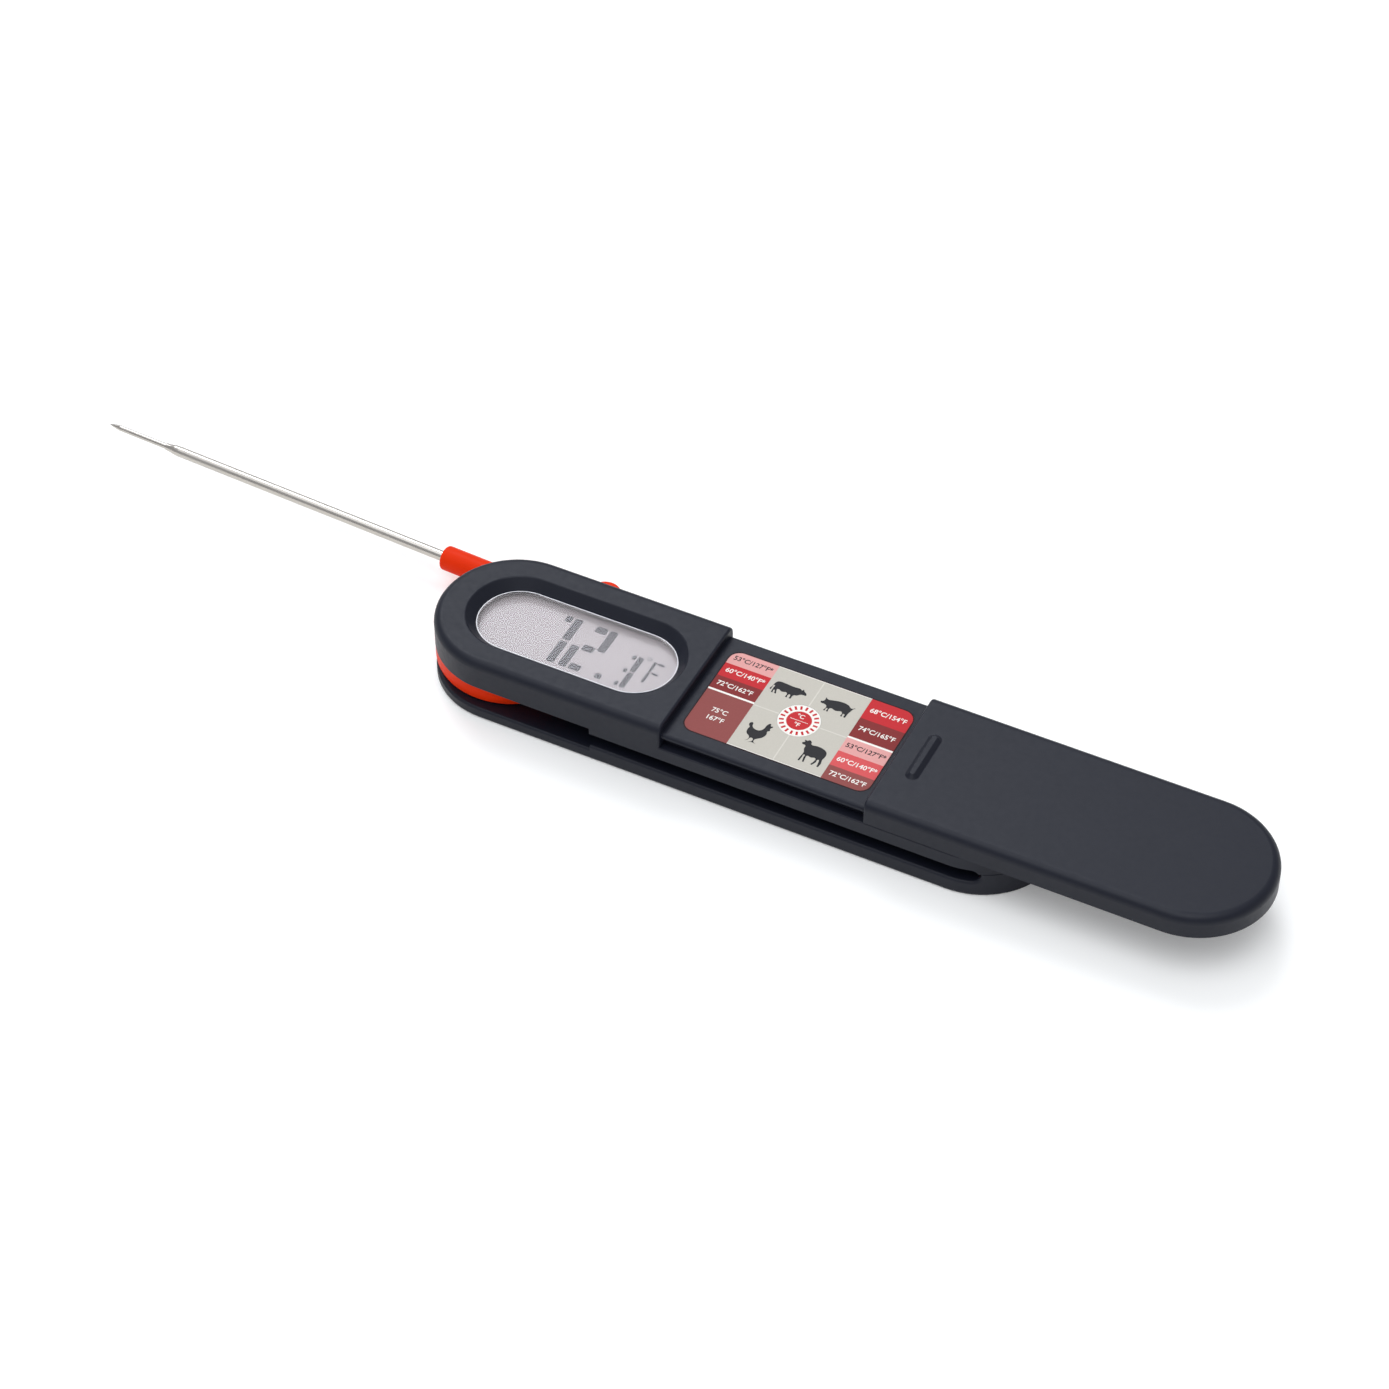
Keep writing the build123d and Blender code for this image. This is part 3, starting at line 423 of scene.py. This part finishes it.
TEXT_MM = 1.95                                    # nominal size of the label's numbers
LEFT_MID = (X0 + LEFT_X) / 2
RIGHT_MID = (RIGHT_X + X1) / 2
lettering("label_numbers_light", [
    ("60°C/140°F*", LEFT_MID + 0.1, 7.3), ("72°C/162°F", LEFT_MID - 0.3, 2.8),
    ("75°C", LEFT_MID, -5.5), ("167°F", LEFT_MID, -8.1),
    ("68°C/154°F", RIGHT_MID, 10.3), ("74°C/165°F", RIGHT_MID, 4.0),
    ("60°C/140°F*", RIGHT_MID + 0.1, -6.8), ("72°C/162°F", RIGHT_MID, -11.5)],
    TEXT_MM, LINE_Z, INKS["white"], "housing")
lettering("label_numbers_dark", [("53°C/127°F*", LEFT_MID + 0.1, 11.6), ("53°C/127°F*", RIGHT_MID + 0.1, -2.0)],
          TEXT_MM, LINE_Z, INKS["dark"], "housing")


# ---------------------------------------------------------------- animals on the label
def placed(outline, x, y):
    """The outline moved to (x, y)."""
    return [(x + at[0], y + at[1], *at[2:]) for at in outline]


C = "corner"
ANIMAL_STEPS = 5                                  # steps of the curve between two points
COW = [(-4.2, -1.2), (-4.0, -0.2), (-3.75, 1.2), (-3.3, 1.75), (-1.5, 1.85), (0.6, 1.7), (2.3, 1.75), (2.75, 1.5),
       (3.0, 2.0, C), (3.35, 1.45, C), (4.2, 0.75), (4.25, 0.35), (3.5, 0.25), (3.0, 0.1), (2.3, -0.55),
       (1.7, -0.75), (1.45, -2.1, C), (1.0, -2.1, C), (1.0, -1.2), (0.75, -0.9), (0.45, -1.2), (0.55, -2.1, C),
       (0.1, -2.1, C), (-0.1, -0.75), (-1.3, -0.9), (-2.5, -0.6), (-2.45, -1.3), (-2.2, -2.1, C), (-2.65, -2.1, C),
       (-2.95, -1.2), (-3.1, -1.1), (-3.1, -2.1, C), (-3.5, -2.1, C), (-3.55, -0.8), (-3.7, 0.3), (-3.9, -0.6),
       (-4.0, -1.3)]
PIG = [(4.0, 1.6), (3.7, 1.2), (3.4, 0.2), (3.2, -0.6), (3.1, -2.1, C), (2.65, -2.1, C), (2.55, -1.2),
       (2.3, -1.1), (2.25, -2.1, C), (1.85, -2.1, C), (1.7, -0.8), (0.2, -1.05), (-1.2, -0.85), (-1.3, -2.1, C),
       (-1.75, -2.1, C), (-1.85, -1.1), (-2.05, -2.1, C), (-2.45, -2.1, C), (-2.3, -0.6), (-2.9, -0.2),
       (-3.9, -0.1), (-4.1, 0.3), (-3.6, 0.6), (-3.4, 1.1), (-3.5, 1.9, C), (-2.7, 1.5), (-1.5, 1.75),
       (0.3, 2.1), (2.2, 1.85), (3.2, 1.2), (3.6, 1.35)]
HEN = [(-2.7, 1.5), (-2.3, 2.35), (-1.95, 2.2), (-1.7, 1.3), (-1.0, 0.7), (0.3, 0.7), (1.0, 1.6), (1.2, 3.0),
       (1.75, 3.7), (2.1, 3.0), (2.6, 3.1), (2.3, 2.2), (2.5, 1.6), (2.1, 1.2), (2.3, 0.3), (1.9, -1.0),
       (1.0, -1.9), (0.6, -2.3), (0.65, -3.1), (1.4, -3.6, C), (0.3, -3.4), (-0.6, -3.75, C), (0.2, -3.0),
       (0.1, -2.3), (-0.5, -2.2), (-0.8, -3.0), (-1.5, -3.6, C), (-0.9, -2.9), (-1.0, -2.0), (-2.0, -1.2),
       (-2.3, -0.1), (-2.2, 0.8), (-2.4, 1.1)]
SHEEP = [(-3.3, 2.9), (-2.6, 3.0), (-2.2, 3.35), (-1.6, 3.0), (-1.3, 2.3), (0.2, 2.4), (1.7, 2.2), (2.8, 1.5),
         (3.1, 0.2), (2.9, -1.0), (3.1, -2.0), (3.0, -3.4, C), (2.6, -3.4, C), (2.45, -2.1), (2.1, -1.3),
         (1.9, -2.3), (1.4, -3.4, C), (1.0, -3.3, C), (1.4, -2.2), (1.3, -1.2), (0.2, -1.4), (-0.7, -1.3),
         (-0.75, -2.2), (-0.6, -3.4, C), (-1.0, -3.4, C), (-1.25, -2.1), (-1.4, -1.2), (-1.6, -2.2),
         (-1.7, -3.4, C), (-2.1, -3.4, C), (-2.0, -2.0), (-1.9, -0.6), (-2.3, 0.4), (-2.5, 1.5), (-3.2, 1.6),
         (-3.5, 1.9), (-3.0, 2.6)]
animals = [placed(COW, 67.1, 7.5), placed(PIG, 79.2, 7.6), placed(HEN, 66.4, -7.5), placed(SHEEP, 80.5, -7.8)]
flat_piece("label_animals", animals, LINE_Z, LINE_Z + INK_MM, INKS["dark"], "housing",
           ANIMAL_STEPS)

# ---------------------------------------------------------------- unit button print
BUTTON_RING_R = BUTTON_CAP_R - 0.02
BUTTON_RED_R = 2.95
BUTTON_BAR, BUTTON_BAR_THIN = 2.2, 0.06           # half length and half width of the line across the disc
UNIT_MM, UNIT_Y = 1.75, 1.35                      # size of a unit mark, and its distance from the middle
TICKS, TICK_IN, TICK_OUT, TICK_HALF = 20, 3.5, 4.6, 0.26
ring = [circle(BUTTON_X, BUTTON_Y, BUTTON_RING_R), circle(BUTTON_X, BUTTON_Y, BUTTON_RED_R)]
flat_piece("button_ring", ring, TOP_Z, TOP_Z + INK_MM, INKS["white"], "button")
flat_piece("button_disc", [circle(BUTTON_X, BUTTON_Y, BUTTON_RED_R)], TOP_Z, TOP_Z + INK_MM,
           INKS["red"], "button")
bar = rectangle(BUTTON_X - BUTTON_BAR, BUTTON_X + BUTTON_BAR, -BUTTON_BAR_THIN, BUTTON_BAR_THIN)
flat_piece("button_bar", [bar], LINE_Z, LINE_Z + INK_MM, INKS["white"], "button")
lettering("button_units", [("°C", BUTTON_X - 0.2, UNIT_Y), ("°F", BUTTON_X, -UNIT_Y)], UNIT_MM,
          LINE_Z, INKS["white"], "button")
middle = Vector((BUTTON_X, BUTTON_Y))
ticks = []
for k in range(TICKS):
    angle = math.tau * k / TICKS
    along = Vector((math.cos(angle), math.sin(angle)))
    across = Vector((-along.y, along.x)) * TICK_HALF
    ends = [middle + along * TICK_IN - across, middle + along * TICK_OUT - across,
            middle + along * TICK_OUT + across, middle + along * TICK_IN + across]
    ticks.append([(end.x, end.y, "corner") for end in ends])
flat_piece("button_ticks", ticks, LINE_Z, LINE_Z + INK_MM, INKS["red"], "button")

# ---------------------------------------------------------------- figures in the display
PANEL_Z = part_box("lcd_panel")[1].z / MM
SEGMENTS = {"7": "abc", "2": "abged", "3": "abgcd"}


def bar_shape(x0, x1, y0, y1, cut=0.28):
    """A display segment: a bar with small cut corners."""
    return [(x, y, "corner") for x, y in (
        (x0 + cut, y0), (x1 - cut, y0), (x1, y0 + cut), (x1, y1 - cut),
        (x1 - cut, y1), (x0 + cut, y1), (x0, y1 - cut), (x0, y0 + cut))]


def figure(digit, x, y, width, height, stroke):
    """Outlines of a seven-segment figure whose low corner is at (x, y)."""
    gap = 0.27 * stroke
    top, middle = y + height, y + height / 2
    right = x + width
    inner = (x + stroke + gap, right - stroke - gap)
    shapes = {
        "a": bar_shape(*inner, top - stroke, top),
        "g": bar_shape(*inner, middle - stroke / 2, middle + stroke / 2),
        "d": bar_shape(*inner, y, y + stroke),
        "b": bar_shape(right - stroke, right, middle + gap / 2, top),
        "c": bar_shape(right - stroke, right, y, middle - gap / 2),
        "e": bar_shape(x, x + stroke, y, middle - gap / 2),
        "f": bar_shape(x, x + stroke, middle + gap / 2, top),
    }
    return [shapes[letter] for letter in SEGMENTS[digit]]


DIGIT_Y, DIGIT_H, DIGIT_STROKE = -7.1, 15.4, 2.05
SMALL_H, SMALL_STROKE, POINT = 10.7, 1.45, 1.7
marks = figure("7", 6.8, DIGIT_Y, 6.9, DIGIT_H, DIGIT_STROKE)
marks += figure("2", 14.8, DIGIT_Y, 8.1, DIGIT_H, DIGIT_STROKE)
marks.append(bar_shape(24.15, 24.15 + POINT, DIGIT_Y, DIGIT_Y + POINT))
marks += figure("3", 27.4, DIGIT_Y, 4.7, SMALL_H, SMALL_STROKE)
# the unit mark: a letter of four bars and a ring
UNIT_X0, UNIT_X1 = 34.6, 35.35                    # its upright bars
ARM_X0, ARM_X1 = 35.65, 37.35                     # its level bars
UNIT_CUT = 0.12
marks += [bar_shape(UNIT_X0, UNIT_X1, -3.5, 0.0, UNIT_CUT), bar_shape(UNIT_X0, UNIT_X1, 0.3, 3.7, UNIT_CUT),
          bar_shape(ARM_X0, ARM_X1, 2.95, 3.7, UNIT_CUT), bar_shape(ARM_X0, ARM_X1, -0.35, 0.4, UNIT_CUT)]
marks += [circle(33.25, 3.95, 0.62), circle(33.25, 3.95, 0.36)]
FIGURES_LOW = PANEL_Z + 0.03                      # in the gap between the panel and the window
FIGURES_HIGH = PANEL_Z + 0.04
LCD_INK = printed("lcd_segment", (0.140, 0.130, 0.137))
flat_piece("lcd_figures", marks, FIGURES_LOW, FIGURES_HIGH, LCD_INK, "housing")

# ---------------------------------------------------------------- painted highlight along the window's edge
RIM_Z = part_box("display_lens")[1].z / MM
RIM_T = 0.01
RIM_OUT, RIM_IN = 9.98, 9.78
LENS_X0, LENS_X1 = 0.95, 31.4                     # centres of the window's round ends


def stadium(radius):
    """Outline of a bar with round ends about the window's middle line."""
    right_end = [math.radians(-90 + 7.5 * k) for k in range(25)]
    points = [(LENS_X1 + radius * math.cos(a), radius * math.sin(a), "corner") for a in right_end]
    return points + [(LENS_X0 - radius * math.cos(a), -radius * math.sin(a), "corner") for a in right_end]


# a pale flat ring on the window's edge: a painted highlight standing in for light caught by the lens's rounded rim
PAINTED_RIM_HIGHLIGHT = printed("lens_edge_highlight", (0.80, 0.80, 0.82), 0.3)
flat_piece("lens_edge_highlight", [stadium(RIM_OUT), stadium(RIM_IN)], RIM_Z, RIM_Z + RIM_T, PAINTED_RIM_HIGHLIGHT,
           "housing")

# ---------------------------------------------------------------- stage, lights and camera
FLOOR_SIDE_M = 30
FLOOR_GLOW = 0.18                                 # keeps the paper white away from the object
bpy.ops.mesh.primitive_plane_add(size=FLOOR_SIDE_M, location=(0.03, 0, 0))
floor = bpy.context.object
floor.name = "floor"
floor_shader = Shader("floor_paper", (0.86, 0.85, 0.82), 0.8)
floor_shader.set("Emission Color", (1.0, 1.0, 1.0, 1.0)).set("Emission Strength", FLOOR_GLOW)
floor_shader.bump([(floor_shader.noise(1.5, 3.0), 0.01, 0.05)])
floor.data.materials.append(floor_shader.material)

world = bpy.data.worlds.new("studio")
bpy.context.scene.world = world
world.use_nodes = True
sky = world.node_tree
background = sky.nodes["Background"]
background.inputs["Color"].default_value = (0.955, 0.985, 1.04, 1)
sky_direction = sky.nodes.new("ShaderNodeTexCoord").outputs["Generated"]


def softbox(direction, inner_degrees, outer_degrees, radiance):
    """Round patch of light round a direction, full inside one angle and nothing outside another."""
    facing = sky.nodes.new("ShaderNodeVectorMath")
    facing.operation = "DOT_PRODUCT"
    facing.inputs[1].default_value = Vector(direction).normalized()
    sky.links.new(sky_direction, facing.inputs[0])
    patch = sky.nodes.new("ShaderNodeMapRange")
    patch.interpolation_type = "SMOOTHSTEP"
    sky.links.new(facing.outputs["Value"], patch.inputs["Value"])
    patch.inputs["From Min"].default_value = math.cos(math.radians(outer_degrees))
    patch.inputs["From Max"].default_value = math.cos(math.radians(inner_degrees))
    patch.inputs["To Max"].default_value = radiance
    return patch.outputs[0]


def added(first, second):
    """Sum of two sockets, or of a socket and a number."""
    total = sky.nodes.new("ShaderNodeMath")
    total.operation = "ADD"
    for socket, value in zip(total.inputs, (first, second)):
        if isinstance(value, float):
            socket.default_value = value
        else:
            sky.links.new(value, socket)
    return total.outputs[0]


ROOM_LIGHT = 0.50
back_box = softbox((-0.43, 0.48, 0.765), 2, 19, 6.8)
top_box = softbox((-0.02, -0.25, 0.97), 9, 36, 2.5)
sky.links.new(added(added(back_box, top_box), ROOM_LIGHT), background.inputs["Strength"])

CAMERA_AZIMUTH = math.radians(27.09)
CAMERA_ELEVATION = math.radians(45.408)
CAMERA_ROLL = math.radians(-0.297)
CAMERA_PLACE = (0.32864, -0.55104, 0.63970)
CAMERA_LENS = 99.41
back = Vector((math.sin(CAMERA_AZIMUTH) * math.cos(CAMERA_ELEVATION),
               -math.cos(CAMERA_AZIMUTH) * math.cos(CAMERA_ELEVATION), math.sin(CAMERA_ELEVATION)))
right = Vector((math.cos(CAMERA_AZIMUTH), math.sin(CAMERA_AZIMUTH), 0))
upward = back.cross(right)
rolled_right = right * math.cos(CAMERA_ROLL) + upward * math.sin(CAMERA_ROLL)
rolled_up = upward * math.cos(CAMERA_ROLL) - right * math.sin(CAMERA_ROLL)
camera = bpy.data.cameras.new("camera")
camera.lens = CAMERA_LENS
camera.sensor_width = 36
camera.clip_start, camera.clip_end = 0.05, 50
camera_object = bpy.data.objects.new("camera", camera)
turn = Matrix((rolled_right, rolled_up, back)).transposed().to_4x4()
camera_object.matrix_world = Matrix.Translation(CAMERA_PLACE) @ turn
bpy.context.scene.collection.objects.link(camera_object)
bpy.context.scene.camera = camera_object
bpy.context.scene.view_settings.view_transform = "Standard"
